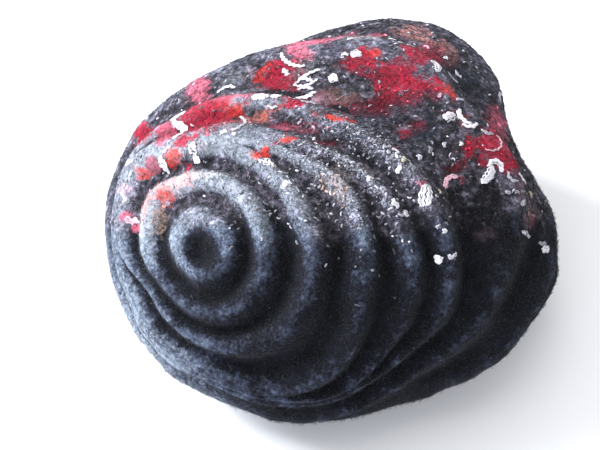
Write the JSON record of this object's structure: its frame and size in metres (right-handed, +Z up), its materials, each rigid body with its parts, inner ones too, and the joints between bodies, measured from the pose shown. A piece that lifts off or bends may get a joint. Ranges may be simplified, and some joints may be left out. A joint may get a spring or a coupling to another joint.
{
  "type": "wool hat",
  "caption": "Soft felted wool hat with a bulging crown of rounded folds winding round a dimple, open below for the head.",
  "frame": {"origin": "centre of the hat's box in plan, at the height of the rim", "axes": "+Z up from the rim to the crown, -Y toward the side with the dimple, +X to the right of it"},
  "size_m": [0.2912, 0.2642, 0.1521],
  "materials": {
    "wool_felt": "matt, napped"
  },
  "bodies": {
    "root": {"felt_shell": "wool_felt"}
  },
  "joints": []
}
